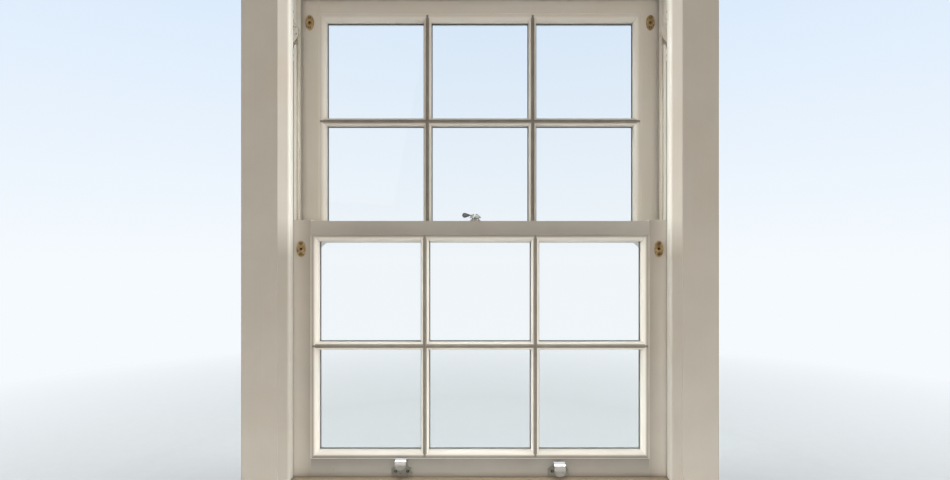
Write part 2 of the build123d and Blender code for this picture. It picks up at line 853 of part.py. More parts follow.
def sash_weight(y, top_z, length):
    """Cast rod with a domed head, a hole down its middle and a side pocket for the knot."""
    r = weight_diameter / 2
    d = weight_dome_height
    c = weight_foot_chamfer
    dome_radius = (r * r + d * d) / (2 * d)
    dome_middle = (r / 2, math.sqrt(dome_radius ** 2 - (r / 2) ** 2) - dome_radius)
    dome = ThreePointArc((0, 0), dome_middle, (r, -d))
    sides = Polyline((r, -d), (r, c - length), (r - c, -length), (0, -length), (0, 0))
    turned = revolve(make_face(Plane.XZ * (dome + sides)), Axis.Z)
    body = Pos(weight_x, y, top_z) * turned
    pocket_top = top_z - weight_pocket_depth
    pocket_bottom = pocket_top - weight_pocket_height
    half = knot_radius + weight_bore_gap
    pocket = block(weight_x - half, weight_x + r, y - half, y + half, pocket_bottom, pocket_top)
    bore_radius = cord_diameter / 2 + weight_bore_gap
    bore = rod((weight_x, y, pocket_bottom), (0, 0, 1), top_z - pocket_bottom, bore_radius)
    return body - pocket - bore


def weight_knot_z(top_z):
    return top_z - weight_pocket_depth - knot_radius - seat_gap


# Boxed frame
def sill_top(y):
    return sash_seat_z - seat_gap - (y - lower_room_y) * weather_slope


def sill_blank(bottom_z):
    """The sill's section along its whole length, down to bottom_z."""
    room_top = sill_top(-channel_y)
    step_top = sill_top(sill_step_y)
    front = sill_top(sill_nose_y) - sill_step
    profile = [
        (room_face_y, bottom_z), (room_face_y, sill_ledge_z), (-channel_y, sill_ledge_z),
        (-channel_y, room_top), (sill_step_y, step_top), (sill_step_y, step_top - sill_step),
        (sill_nose_y, front), (sill_nose_y, bottom_z),
    ]
    return outline_yz(profile, -frame_half_width, frame_half_width)


def sill():
    body = sill_blank(0)
    nose = body.edges().filter_by(Axis.X).sort_by(Axis.Y)[-2:]
    top_edge = ShapeList(nose).sort_by(Axis.Z)[-1:]
    body = fillet(top_edge, sill_nose_radius)
    w = frame_half_width
    drip = rod((-w, sill_nose_y - drip_groove_inset, 0), (1, 0, 0), 2 * w, drip_groove_radius)
    return body - drip


def pulley_stile():
    y = channel_y
    t = lining_tongue_thickness
    z0 = sash_seat_z - stile_housing_depth
    z1 = head_z + head_housing_depth
    board = block(half_opening, box_x, -y, y, z0, z1)
    tongue = block(box_x - t, box_x, -y - lining_tongue, y + lining_tongue, sash_seat_z, head_z)
    return board + tongue


def pocket(joint):
    """Loose part of the pulley stile, bevelled at both ends, between the lining and the bead."""
    z0 = pocket_bottom_z
    z1 = z0 + pocket_height
    b = pocket_bevel
    outline = [(half_opening, z0), (box_x, z0 + b), (box_x, z1 + b), (half_opening, z1)]
    return outline_xz(outline, joint - channel_y, -bead_half - joint)


def bead_groove():
    outer = half_opening + parting_bead_groove
    return block(half_opening, outer, -bead_half, bead_half, sash_seat_z - stile_housing_depth, head_z)


def parting_bead():
    inner = block(parting_inner_x, half_opening, -bead_half, bead_half, 0, head_z)
    return inner - sill_blank(0) + bead_groove()


def parting_bead_head():
    x = parting_inner_x
    low = head_z - parting_bead_projection
    return block(-x, x, -bead_half, bead_half, low, head_z + parting_bead_groove)


def staff_bead_profile():
    """Section: u from the opening's inner line outwards, v from the room face outwards."""
    w = staff_bead_width
    lap = staff_bead_lap
    seat = staff_bead_seat
    deep = lining_thickness
    r = staff_nose_radius
    nose = CenterArc((r, r), r, 180, 90)
    rest = Polyline((r, 0), (w, 0), (w, seat), (lap, seat), (lap, deep), (0, deep), (0, r))
    return make_face(nose + rest)


def staff_bead_side():
    inner = bead_inner_x
    z0 = sill_ledge_z
    z1 = head_z - staff_bead_lap
    w = staff_bead_width
    bead = upright(staff_bead_profile(), inner, room_face_y, z0, z1 + w)
    outline = [(inner, z0), (inner + w, z0), (inner + w, z1 + w), (inner, z1)]
    return bead & outline_xz(outline, room_face_y, -channel_y)


def staff_bead_head():
    inner = bead_inner_x
    z = head_z - staff_bead_lap
    w = staff_bead_width
    bead = rail_up(staff_bead_profile(), room_face_y, z, inner + w)
    outline = [(-inner, z), (inner, z), (inner + w, z + w), (-inner - w, z + w)]
    return bead & outline_xz(outline, room_face_y, -channel_y)


def sill_bead():
    x = bead_inner_x
    bead = block(-x, x, room_face_y, -channel_y, sill_ledge_z, sill_bead_top_z)
    nose = bead.edges().filter_by(Axis.X).group_by(Axis.Z)[-1].sort_by(Axis.Y)[0]
    return fillet(nose, staff_nose_radius)


def face_plate_screws(y):
    reach = face_plate_height / 2 - face_plate_screw_inset
    return screws([(half_opening, y, pulley_z + s * reach) for s in (-1, 1)], (1, 0, 0))


def build_frame():
    stile = pulley_stile()
    bead_head = parting_bead_head()
    staff_side = staff_bead_side()
    staff_head = staff_bead_head()
    below = sill_blank(-sill_step)
    groove = bead_groove()
    cases = {"lower": lower_centre_y, "upper": upper_centre_y}
    y = channel_y
    z = head_z

    keep("sill", cut(sill(), both(stile) + both(groove)))
    keep("sill_bead", sill_bead())
    keep("parting_beads", *both(parting_bead()), bead_head)

    plate_screws = face_plate_screws(lower_centre_y) + face_plate_screws(upper_centre_y)
    pocket_middle_y = -(channel_y + bead_half) / 2
    pocket_screw_z = pocket_bottom_z + pocket_screw_height
    pocket_screw = screw((half_opening, pocket_middle_y, pocket_screw_z), (1, 0, 0))
    openings = [pulley_opening(lower_centre_y), pulley_opening(upper_centre_y)]
    side = cut(stile, [groove, pocket(0)] + openings + plate_screws)
    keep("pulley_stile_right", side)
    keep("pulley_stile_left", left(side))
    keep("pocket_pieces", *both(pocket(pocket_joint) - pocket_screw))

    slip_x0 = box_x + parting_slip_margin
    slip_x1 = back_x - parting_slip_margin
    half = parting_slip_thickness / 2
    slip = block(slip_x0, slip_x1, -half, half, parting_slip_bottom_z, z + head_housing_depth)
    keep("parting_slips", *both(slip))
    head_x = back_x + back_lining_thickness
    head = block(-head_x, head_x, -y, y, z, z + head_thickness)
    keep("head", cut(head, both(stile) + both(slip) + [bead_head]))
    keep("back_linings", *both(block(back_x, head_x, -y, y, 0, z) - below))

    lining = block(half_opening, frame_half_width, room_face_y, -y, sill_ledge_z, frame_top_z)
    lining = cut(lining, [staff_side, staff_head, stile])
    keep("inside_lining_right", lining)
    keep("inside_lining_left", left(lining))
    head_lining = block(-half_opening, half_opening, room_face_y, -y, z, frame_top_z)
    keep("inside_lining_head", cut(head_lining, both(staff_side) + [staff_head]))
    keep("staff_bead_right", staff_side)
    keep("staff_bead_left", left(staff_side))
    keep("staff_bead_head", staff_head)

    reveal_x = half_opening - outside_lining_reveal
    reveal_z = z - outside_lining_reveal
    outside = block(reveal_x, frame_half_width, y, outer_face_y, 0, frame_top_z)
    outside = cut(outside, [below, stile])
    keep("outside_lining_right", outside)
    keep("outside_lining_left", left(outside))
    keep("outside_lining_head", block(-reveal_x, reveal_x, y, outer_face_y, reveal_z, frame_top_z))

    axles = []
    for name, middle in cases.items():
        case = cut(pulley_case(middle), plate_screws)
        keep(f"pulley_case_{name}_right", case)
        keep(f"pulley_case_{name}_left", left(case))
        wheel = pulley_wheel(middle)
        keep(f"pulley_wheel_{name}_right", wheel)
        keep(f"pulley_wheel_{name}_left", left(wheel))
        axles += both(pulley_axle(middle))
    keep("pulley_axles", *axles)
    frame_screws = plate_screws + [pocket_screw]
    keep("frame_screws", *frame_screws, *[left(fixing) for fixing in frame_screws])


def build_cords_and_weights():
    lower_top = pulley_z - lower_weight_below_pulley
    upper_top = sash_seat_z + upper_weight_above_sill + upper_weight_length
    rows = {
        "lower": (lower_centre_y, lower_top_z, lower_top, lower_weight_length),
        "upper": (upper_centre_y, upper_top_z, upper_top, upper_weight_length),
    }
    for name, (y, sash_top, weight_top, length) in rows.items():
        cord = sash_cord(y, sash_top - knot_below_top, weight_knot_z(weight_top))
        weight = sash_weight(y, weight_top, length)
        keep(f"sash_cord_{name}_right", cord)
        keep(f"sash_cord_{name}_left", left(cord))
        keep(f"sash_weight_{name}_right", weight)
        keep(f"sash_weight_{name}_left", left(weight))


def build_lower_sash():
    y = lower_room_y
    margin = tenon_shoulder
    tenons = [
        tenon(y, lower_bottom_z + margin, lower_sight_bottom - moulding_width - margin / 2),
        tenon(y, lower_sight_top + moulding_width + margin / 2, lower_top_z - margin),
    ]
    plate = stop_plate(y, lower_top_z)
    plate_screws = stop_screws(y, lower_top_z)
    plate = cut(plate, plate_screws)
    groove = cord_groove(y, lower_top_z, lower_top_z + stile_rise)
    stile = cut(lower_stile(), tenons + plate_screws + [groove, stop_hole(y, lower_top_z)])
    bottom = lower_bottom_rail() + tenons[0] + left(tenons[0])
    meeting = lower_meeting_rail() + tenons[1] + left(tenons[1])
    bars = glazing_bars(y, lower_sight_bottom, lower_sight_top, [bottom, meeting], stile)

    left_lift = lift(-lift_offset, left_lift_height, left_lift_reach, left_lift_drop)
    right_lift = lift(lift_offset, right_lift_height, right_lift_reach, right_lift_drop)
    left_screws = lift_screws(-lift_offset)
    right_screws = lift_screws(lift_offset)
    rail_screws = left_screws + right_screws
    bottom = cut(bottom, rail_screws)
    fixing = base_screws()
    meeting = cut(meeting, fixing)

    keep("lower_stile_right", stile)
    keep("lower_stile_left", left(stile))
    keep("lower_bottom_rail", bottom)
    keep("lower_meeting_rail", meeting)
    keep("lower_glazing_bars", *bars)
    keep("lower_panes", *panes(y, lower_sight_bottom, lower_sight_top))
    keep("lower_putty", *putty(y, lower_sight_bottom, lower_sight_top, True))
    keep("lower_stop_plates", plate, left(plate))
    keep("sash_lift_left", cut(left_lift, left_screws))
    keep("sash_lift_right", cut(right_lift, right_screws))
    keep("fastener_base", cut(fastener_base(), fixing))
    keep("fastener_lever", fastener_lever())
    keep("lower_screws", *rail_screws, *fixing, *plate_screws, *[left(s) for s in plate_screws])


def build_upper_sash():
    y = upper_room_y
    margin = tenon_shoulder
    tenons = [
        tenon(y, upper_bottom_z + margin, upper_sight_bottom - margin),
        tenon(y, upper_sight_top + moulding_width + margin / 2, upper_top_z - margin),
    ]
    plate = stop_plate(y, upper_top_z)
    plate_screws = stop_screws(y, upper_top_z)
    plate = cut(plate, plate_screws)
    groove = cord_groove(y, upper_top_z, upper_top_z)
    stile = cut(upper_stile(), tenons + plate_screws + [groove, stop_hole(y, upper_top_z)])
    meeting = upper_meeting_rail() + tenons[0] + left(tenons[0])
    top = upper_top_rail() + tenons[1] + left(tenons[1])
    bars = glazing_bars(y, upper_sight_bottom, upper_sight_top, [meeting, top], stile)
    fixing = keep_screws()
    meeting = cut(meeting, fixing)

    keep("upper_stile_right", stile)
    keep("upper_stile_left", left(stile))
    keep("upper_top_rail", top)
    keep("upper_meeting_rail", meeting)
    keep("upper_glazing_bars", *bars)
    keep("upper_panes", *panes(y, upper_sight_bottom, upper_sight_top))
    keep("upper_putty", *putty(y, upper_sight_bottom, upper_sight_top, False))
    keep("upper_stop_plates", plate, left(plate))
    keep("fastener_keep", cut(fastener_keep(), fixing))
    keep("upper_screws", *fixing, *plate_screws, *[left(s) for s in plate_screws])


def main():
    build_frame()
    build_cords_and_weights()
    build_lower_sash()
    build_upper_sash()
    os.makedirs("parts", exist_ok=True)
    for name, solids in nodes.items():
        shape = solids[0] if len(solids) == 1 else Compound(children=solids)
        export_step(shape, f"parts/{name}.step")


main()
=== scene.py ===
import math

import bpy
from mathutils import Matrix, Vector


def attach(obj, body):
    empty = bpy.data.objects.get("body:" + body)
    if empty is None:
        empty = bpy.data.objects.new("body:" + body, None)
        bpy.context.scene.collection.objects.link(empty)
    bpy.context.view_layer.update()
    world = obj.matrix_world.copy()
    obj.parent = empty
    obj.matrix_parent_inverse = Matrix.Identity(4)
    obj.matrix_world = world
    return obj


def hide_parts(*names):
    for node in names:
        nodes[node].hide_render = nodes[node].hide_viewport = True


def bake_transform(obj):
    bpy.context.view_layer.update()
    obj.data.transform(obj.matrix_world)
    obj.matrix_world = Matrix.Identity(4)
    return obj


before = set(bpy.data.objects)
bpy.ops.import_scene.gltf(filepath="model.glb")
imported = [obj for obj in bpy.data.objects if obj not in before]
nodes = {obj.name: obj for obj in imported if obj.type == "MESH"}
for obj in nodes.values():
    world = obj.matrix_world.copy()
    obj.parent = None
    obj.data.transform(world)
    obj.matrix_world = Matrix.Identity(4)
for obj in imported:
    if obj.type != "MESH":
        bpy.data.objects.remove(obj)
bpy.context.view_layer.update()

sides = (("left", -1), ("right", 1))

# Places in the frame, in metres. Each x but the fastener's is the right side's, and the left side
# mirrors it.
half_opening = 0.395          # from the middle to a pulley stile
sash_half_width = 0.393
frame_half_width = 0.485
lining_top_z = 1.157          # just under the top of the linings
head_under_z = 1.0995         # just above the underside of the head
upper_sash_top_z = 1.0968     # just under the top of the upper sash
channel_y = 0.052             # the sashes run between -channel_y and channel_y
wheel_x, pulley_z = 0.410, 1.0033
wheel_pitch_radius = 0.026
cord_x, weight_x = 0.384, 0.436
cord_radius, knot_radius = 0.003, 0.0065
sash_y = {"lower": -0.028, "upper": 0.028}
sash_knot_z = {"lower": 0.405, "upper": 0.898}
weight_top_z = {"lower": 0.9333, "upper": 0.536}
weight_knot_drop = 0.0268     # from a weight's top down to its knot
plate_x = 0.370
plate_z = {"lower": 0.547, "upper": 1.040}
socket_mouth_y = {"lower": -0.052, "upper": 0.004}
socket_radius = 0.003
fastener_x = -0.0102


def srgb(r, g, b):
    """The linear colour of an sRGB one given from 0 to 255."""
    def one(c):
        c /= 255
        return c / 12.92 if c <= 0.04045 else ((c + 0.055) / 1.055) ** 2.4
    return (one(r), one(g), one(b), 1.0)


# Camera, found from where the photo's lines meet and how its sashes shift against each other
picture_width = 950
focal_length = 536            # in pixels
centre_shift = (-5, 22)       # from the middle of the picture to where the camera looks, in pixels
film_width = 36
eye = (0, -1.1595, 0.520)
camera_data = bpy.data.cameras.new("camera")
camera = bpy.data.objects.new("camera", camera_data)
bpy.context.scene.collection.objects.link(camera)
bpy.context.scene.camera = camera
camera_data.sensor_width = film_width
camera_data.lens = film_width * focal_length / picture_width
camera_data.shift_x = centre_shift[0] / picture_width
camera_data.shift_y = centre_shift[1] / picture_width
camera_data.clip_start = 0.01
camera_data.clip_end = 200
camera.location = eye
camera.rotation_euler = (math.pi / 2, 0, 0)
bpy.context.scene.view_settings.view_transform = "Standard"


class Graph:
    """A node tree, grown one call at a time. Most calls give back the new node's output socket."""

    def __init__(self, tree):
        self.tree = tree
        tree.nodes.clear()

    def node(self, kind, inputs=(), **settings):
        n = self.tree.nodes.new("ShaderNode" + kind)
        for key, value in settings.items():
            setattr(n, key, value)
        for key, value in dict(inputs).items():
            self.plug(n.inputs[key], value)
        return n

    def plug(self, socket, value):
        if isinstance(value, bpy.types.NodeSocket):
            self.tree.links.new(value, socket)
        else:
            socket.default_value = value

    def place(self):
        return self.node("TexCoord").outputs["Object"]

    def facing(self):
        return self.node("TexCoord").outputs["Normal"]

    def xyz(self, vector):
        return self.node("SeparateXYZ", {0: vector}).outputs[:]

    def ray_is(self, kind):
        return self.node("LightPath").outputs[f"Is {kind} Ray"]

    def math(self, operation, *values):
        return self.node("Math", enumerate(values), operation=operation).outputs[0]

    def add(self, a, b):
        return self.math("ADD", a, b)

    def times(self, a, b):
        return self.math("MULTIPLY", a, b)

    def rest(self, share):
        """What a share leaves of 1."""
        return self.math("SUBTRACT", 1.0, share)

    def size_of(self, value):
        return self.math("ABSOLUTE", value)

    def distance(self, a, b):
        """How far the point (a, b) lies from (0, 0)."""
        return self.math("SQRT", self.add(self.times(a, a), self.times(b, b)))

    def most(self, *values):
        found = values[0]
        for value in values[1:]:
            found = self.math("MAXIMUM", found, value)
        return found

    def step(self, value, start, end):
        """0 up to start and 1 from end on, with a slope between; start may be the higher one."""
        n = self.node("MapRange", {"Value": value, "From Min": start, "From Max": end}, clamp=True)
        return n.outputs["Result"]

    def scaled(self, vector, factors, shift=(0, 0, 0)):
        n = self.node("Mapping", {"Vector": vector, "Scale": factors, "Location": shift},
                      vector_type="POINT")
        return n.outputs[0]

    def grained(self, vector, grain, across, along, shift=(0, 0, 0)):
        """Scaled by across, but by along in the direction of the grain."""
        factors = tuple(along if axis == grain else across for axis in "xyz")
        return self.scaled(vector, factors, shift)

    def noise(self, vector, scale, detail=3.0, roughness=0.55, distortion=0.0):
        n = self.node("TexNoise", {
            "Vector": vector, "Scale": scale, "Detail": detail,
            "Roughness": roughness, "Distortion": distortion,
        })
        return n.outputs["Fac"]

    def cells(self, vector, scale):
        return self.node("TexVoronoi", {"Vector": vector, "Scale": scale}).outputs["Distance"]

    def mix(self, factor, a, b, blend="MIX"):
        """Between two colours."""
        inputs = {0: factor, 6: a, 7: b}
        return self.node("Mix", inputs, data_type="RGBA", blend_type=blend).outputs[2]

    def blend(self, factor, a, b):
        """Between two numbers."""
        return self.node("Mix", {0: factor, 2: a, 3: b}, data_type="FLOAT").outputs[0]

    def bump(self, height, distance, strength):
        inputs = {"Height": height, "Distance": distance, "Strength": strength}
        return self.node("Bump", inputs).outputs[0]

    def hollows(self, distance):
        """1 in a tight corner, 0 on an open face."""
        n = self.node("AmbientOcclusion", {"Distance": distance}, samples=4, only_local=False)
        return self.step(n.outputs["AO"], 0.95, 0.25)


def material(name, draw):
    """A material whose draw(graph) gives the Principled shader's inputs by name."""
    made = bpy.data.materials.new(name)
    made.use_nodes = True
    g = Graph(made.node_tree)
    shader = g.node("BsdfPrincipled", draw(g))
    g.node("OutputMaterial", {"Surface": shader.outputs[0]})
    return made


def darker(colour, share):
    return tuple(share * c for c in colour[:3]) + (1.0,)


# Wood and paint. A grain is the axis that it runs along, or None.
upright, level = "z", "x"
pith = {upright: (0.60, 0.22), level: (0.25, 0.75)}   # the heart of the log, beside the board
ring_width, ring_wander = 0.0045, 0.035
wood_pale, wood_dark = srgb(172, 144, 110), srgb(130, 99, 68)
wood_knot = srgb(98, 62, 34)
primer = srgb(176, 168, 155)
room_paint = srgb(232, 228, 221), srgb(231, 223, 214), srgb(225, 224, 215)      # main, warm, cool
outside_paint = srgb(223, 222, 214), srgb(216, 210, 197), srgb(205, 210, 206)
old_wood = srgb(128, 112, 92)
# Painted shade: the next colour darkens corners and room-facing flats, and also colours dirt and a
# dent.
grime_and_shade = srgb(96, 84, 68)
# Painted shade: the next colour darkens the rails' flats.
rail_shade = srgb(92, 87, 83)
bar_nose_shade = srgb(112, 107, 99)


def wood_layer(g, at, grain, pale, dark):
    """Sawn softwood: year rings about the pith, fine pores and a few knots."""
    x, y, z = g.xyz(at)
    across, up = (g.size_of(x), y) if grain == upright else (y, z)
    reach = g.distance(g.add(across, -pith[grain][0]), g.add(up, -pith[grain][1]))
    wander = g.noise(g.grained(at, grain, 9, 1.4), 1.0, 2, 0.45)
    ring = g.math("FRACT", g.times(g.add(reach, g.times(wander, ring_wander)), 1 / ring_width))
    line = g.times(g.math("POWER", ring, 2.2), g.step(ring, 1.0, 0.90))
    pore = g.noise(g.grained(at, grain, 1400, 30), 1.0, 2)
    knot = g.step(g.cells(g.grained(at, grain, 1.0, 0.7, (0.13, 0.31, 0.07)), 4.2), 0.075, 0.035)
    colour = g.mix(line, pale, dark)
    colour = g.mix(g.times(g.step(pore, 0.45, 0.75), 0.22), colour, dark)
    colour = g.mix(g.times(g.noise(at, 6, 2), 0.35), colour, darker(pale, 0.72))
    colour = g.mix(knot, colour, wood_knot)
    return colour, g.add(g.times(line, 0.4), g.times(pore, 0.6))


def paint_layer(g, at, grain, paint):
    """Brushed satin paint over old coats: drifting tint, brush lines, fine nibs, soft ripples."""
    main, warm, cool = paint
    warm_place = g.noise(at, 5.5, 3, 0.5, 0.4)
    cool_place = g.noise(g.scaled(at, (1, 1, 1), (3.1, 1.7, 0.4)), 11, 3, 0.5)
    colour = g.mix(g.step(warm_place, 0.42, 0.68), main, warm)
    colour = g.mix(g.times(g.step(cool_place, 0.48, 0.75), 0.7), colour, cool)
    brush = g.noise(g.grained(at, grain, 620, 9), 1.0, 4, 0.6, 0.3)
    nib = g.noise(at, 900, 2, 0.6)
    ripple = g.noise(at, 70, 3, 0.5)
    colour = g.mix(g.times(g.step(brush, 0.35, 0.7), 0.10), colour, darker(main, 0.75))
    height = g.add(g.times(brush, 0.5), g.add(g.times(nib, 0.1), g.times(ripple, 1.3)))
    shine = g.blend(g.step(ripple, 0.3, 0.7), 0.34, 0.50)
    return colour, height, shine


def weathered_layer(g, at, grain, weather):
    """Outside paint, with splits along the grain as strong as weather says."""
    colour, height, shine = paint_layer(g, at, grain, outside_paint)
    crack = g.noise(g.grained(at, grain, 260, 14), 1.0, 4, 0.7, 0.8)
    split = g.times(g.step(crack, 0.62, 0.70), weather)
    colour = g.mix(split, colour, old_wood)
    return colour, g.add(height, g.times(split, -2.0)), g.add(shine, 0.16)


def painted(name, grain, bare=None, outside=None, flaw=None, weather=0.35, nose=None, soil_and_shade=None,
            dust_and_shade=grime_and_shade):
    """Room paint, with outside paint where outside(g, x, y, z, nx, ny, nz) says, and bare wood
    where bare does. Painted shade in the colour dust lies as dark as soil says, and a bar's
    room-facing nose gets painted shade in the colour nose. A flaw is the x, z and radius of a dent."""
    def draw(g):
        at = g.place()
        x, y, z = g.xyz(at)
        nx, ny, nz = g.xyz(g.facing())
        where = (x, y, z, nx, ny, nz)
        colour, height, shine = paint_layer(g, at, grain, room_paint)
        if outside is not None:
            chosen = outside(g, *where)
            other, other_height, other_shine = weathered_layer(g, at, grain, weather)
            colour = g.mix(chosen, colour, other)
            height = g.blend(chosen, height, other_height)
            shine = g.blend(chosen, shine, other_shine)
        # Painted shade: darkens the paint towards the colour dust as far as soil says.
        if soil_and_shade is not None:
            shade_amount = g.times(soil_and_shade(g, *where), g.blend(g.noise(at, 9, 4, 0.6), 0.88, 1.12))
            colour = g.mix(shade_amount, colour, dust_and_shade)
        # Painted shade: a bar's flat nose, which faces the room, is darkened to the colour nose.
        if nose is not None:
            patchy = g.blend(g.noise(at, 40, 4, 0.6), 0.75, 1.0)
            colour = g.mix(g.times(g.step(ny, -0.94, -0.985), patchy), colour, nose)
        # Painted shade in the corners, patchy like dirt: darker towards grime where hollows finds a
        # tight corner.
        corner_shade_and_dirt = g.times(g.hollows(0.004), g.blend(g.noise(at, 26, 3), 0.04, 0.30))
        colour = g.mix(corner_shade_and_dirt, colour, grime_and_shade)
        if flaw is not None:
            flaw_x, flaw_z, radius = flaw
            dent = g.step(g.distance(g.add(x, -flaw_x), g.add(z, -flaw_z)), radius, radius * 0.35)
            colour = g.mix(g.times(dent, 0.35), colour, grime_and_shade)
            height = g.add(height, g.times(dent, -6.0))
        if bare is not None:
            ragged = g.times(g.add(g.noise(at, 60, 4, 0.6), -0.5), 0.5)
            raw = g.step(g.add(bare(g, *where), ragged), 0.45, 0.55)
            wood, wood_height = wood_layer(g, at, grain, wood_pale, wood_dark)
            colour = g.mix(raw, colour, g.mix(0.18, wood, primer))
            height = g.blend(raw, height, g.times(wood_height, 1.6))
            shine = g.blend(raw, shine, 0.72)
        return {
            "Base Color": colour, "Roughness": shine, "Specular IOR Level": 0.45,
            "Normal": g.bump(height, 0.00006, 0.8),
        }
    return material(name, draw)


# Where a board is bare, painted for outside or in painted shade. Each is 1 there and 0 elsewhere.
def above(g, value, edge, soft=0.0005):
    return g.step(value, edge - soft, edge + soft)


def everywhere(g, x, y, z, nx, ny, nz):
    return g.step(y, -10.0, -9.0)


def faces_out(g, x, y, z, nx, ny, nz):
    return g.step(ny, 0.25, 0.4)


def faces_down(g, x, y, z, nx, ny, nz):
    return g.step(nz, -0.8, -0.95)


def wall_edges(g, x, z):
    """A lining's edges against the wall."""
    return above(g, g.size_of(x), frame_half_width - 0.0012), above(g, z, lining_top_z)


def lining_back(g, x, y, z, nx, ny, nz):
    """The inside lining's back, hidden in the box, and its edges."""
    return g.most(g.step(ny, 0.5, 0.7), *wall_edges(g, x, z))


def outside_lining_back(g, x, y, z, nx, ny, nz):
    return g.most(g.step(ny, -0.5, -0.7), *wall_edges(g, x, z))


def box_side(g, x, y, z, nx, ny, nz):
    """The pulley stile's side that faces the weights."""
    return above(g, g.size_of(x), half_opening + 0.002)


def head_top(g, x, y, z, nx, ny, nz):
    """All of the head but its underside between the linings."""
    return g.most(above(g, z, head_under_z), above(g, g.size_of(x), half_opening + 0.001),
                  above(g, g.size_of(y), channel_y + 0.001))


def stile_edge(g, x, y, z, nx, ny, nz):
    return above(g, g.size_of(x), sash_half_width - 0.0015)


def sash_top(g, x, y, z, nx, ny, nz):
    return above(g, z, upper_sash_top_z)


def sill_hidden(g, x, y, z, nx, ny, nz):
    return g.most(faces_down(g, x, y, z, nx, ny, nz),
                  above(g, g.size_of(x), frame_half_width - 0.0012))


# Painted shade: how dark it lies, from 0 to 1, and the places between which it thins, in metres
upper_shade = 0.12             # on the upper sash's flats
bead_shade_depth, bead_shade_z = 0.47, (0.61, 0.53)
cord_shadow_depth, cord_shadow_reach, cord_shadow_z = 0.62, (0.008, 0.005), (pulley_z, pulley_z - 0.02)
nose_shade_depth, nose_x = 0.68, (0.3868, 0.3858)


def flats_shade(shade_amount, *fades):
    """Painted shade on flats that face the room, leaving the slopes lit: strong on the lower sash and
    the linings. Each fade gives an axis, where along it the shade starts and stops thinning, and the
    share that is left."""
    def amount(g, x, y, z, nx, ny, nz):
        found = shade_amount
        for axis, start, end, share in fades:
            along = g.size_of(x) if axis == "x" else z
            found = g.times(g.blend(g.step(along, start, end), 1.0, share), found)
        flat = g.step(ny, -0.90, -0.985)
        return g.times(flat, g.blend(g.step(y, 0.001, -0.001), upper_shade, found))
    return amount


def bead_shade(g, x, y, z, nx, ny, nz):
    """Painted shade on the staff beads beside the lower sash."""
    return g.times(g.step(z, *bead_shade_z), bead_shade_depth)


def cord_shadow(g, x, y, z, nx, ny, nz):
    """Painted shadow: the lines that the cords cast down the pulley stile, under the pulleys."""
    line = g.step(g.size_of(g.add(g.size_of(y), -sash_y["upper"])), *cord_shadow_reach)
    return g.times(g.times(line, g.step(z, *cord_shadow_z)), cord_shadow_depth)


def parting_nose_shade(g, x, y, z, nx, ny, nz):
    """Painted shade on the nose of the parting bead."""
    return g.times(g.step(g.size_of(x), *nose_x), nose_shade_depth)


stile_shade = flats_shade(0.58, ("x", 0.353, 0.382, 0.50))
meeting_rail_shade = flats_shade(0.63, ("z", 0.583, 0.600, 0.88), ("x", 0.24, 0.34, 0.80))
bottom_rail_shade = flats_shade(0.73, ("z", 0.112, 0.086, 0.76))
lining_shade = flats_shade(0.46)
bottom_rail_flaw = (-0.303, 0.0898, 0.0016)

painted_finishes = {
    "room_stile": (upright, dict(bare=stile_edge, outside=faces_out, soil_and_shade=stile_shade)),
    "room_rail": (level, dict(outside=faces_out, soil_and_shade=meeting_rail_shade, dust_and_shade=rail_shade)),
    "room_top_rail": (level, dict(bare=sash_top, outside=faces_out, soil_and_shade=meeting_rail_shade,
                                  dust_and_shade=rail_shade)),
    "room_bottom_rail": (level, dict(bare=faces_down, outside=faces_out, flaw=bottom_rail_flaw,
                                     soil_and_shade=bottom_rail_shade, dust_and_shade=rail_shade)),
    "room_bars": (upright, dict(outside=faces_out, nose=bar_nose_shade)),
    "room_lining": (upright, dict(bare=lining_back, soil_and_shade=lining_shade)),
    "room_head_lining": (level, dict(bare=lining_back, soil_and_shade=lining_shade)),
    "room_bead": (upright, dict(soil_and_shade=parting_nose_shade)),
    "staff_bead": (upright, dict(soil_and_shade=bead_shade)),
    "room_bead_head": (level, {}),
    "channel_stile": (upright, dict(bare=box_side, soil_and_shade=cord_shadow)),
    "channel_head": (level, dict(bare=head_top)),
    "outside_lining": (upright, dict(bare=outside_lining_back, outside=everywhere, weather=0.8)),
    "outside_head_lining": (level, dict(bare=outside_lining_back, outside=everywhere, weather=0.6)),
    "outside_sill": (level, dict(bare=sill_hidden, outside=everywhere, weather=1.0)),
}


def bare_board(g):
    at = g.place()
    colour, height = wood_layer(g, at, upright, wood_pale, wood_dark)
    dust_and_shade = g.noise(at, 14, 4, 0.6)
    colour = g.mix(g.times(dust_and_shade, 0.45), colour, srgb(150, 132, 108))
    # Painted shade: dark brown in the corners.
    colour = g.mix(g.hollows(0.01), colour, srgb(84, 66, 48))
    saw = g.noise(g.grained(at, upright, 60, 420), 1.0, 2)
    return {"Base Color": colour, "Roughness": g.blend(dust_and_shade, 0.62, 0.82),
            "Normal": g.bump(g.add(g.times(height, 1.5), saw), 0.0001, 0.9)}


def varnished_bead(g):
    at = g.place()
    colour, height = wood_layer(g, at, level, srgb(156, 138, 116), srgb(110, 92, 72))
    worn = g.step(g.noise(g.grained(at, level, 40, 3), 1.0, 4, 0.6), 0.52, 0.72)
    colour = g.mix(g.times(worn, 0.45), colour, srgb(158, 140, 116))
    # Painted shade: near black in the corners.
    colour = g.mix(g.hollows(0.008), colour, srgb(46, 34, 22))
    return {"Base Color": colour, "Roughness": g.blend(worn, 0.30, 0.55), "Coat Weight": 0.25,
            "Coat Roughness": 0.2, "Normal": g.bump(height, 0.00012, 0.8)}


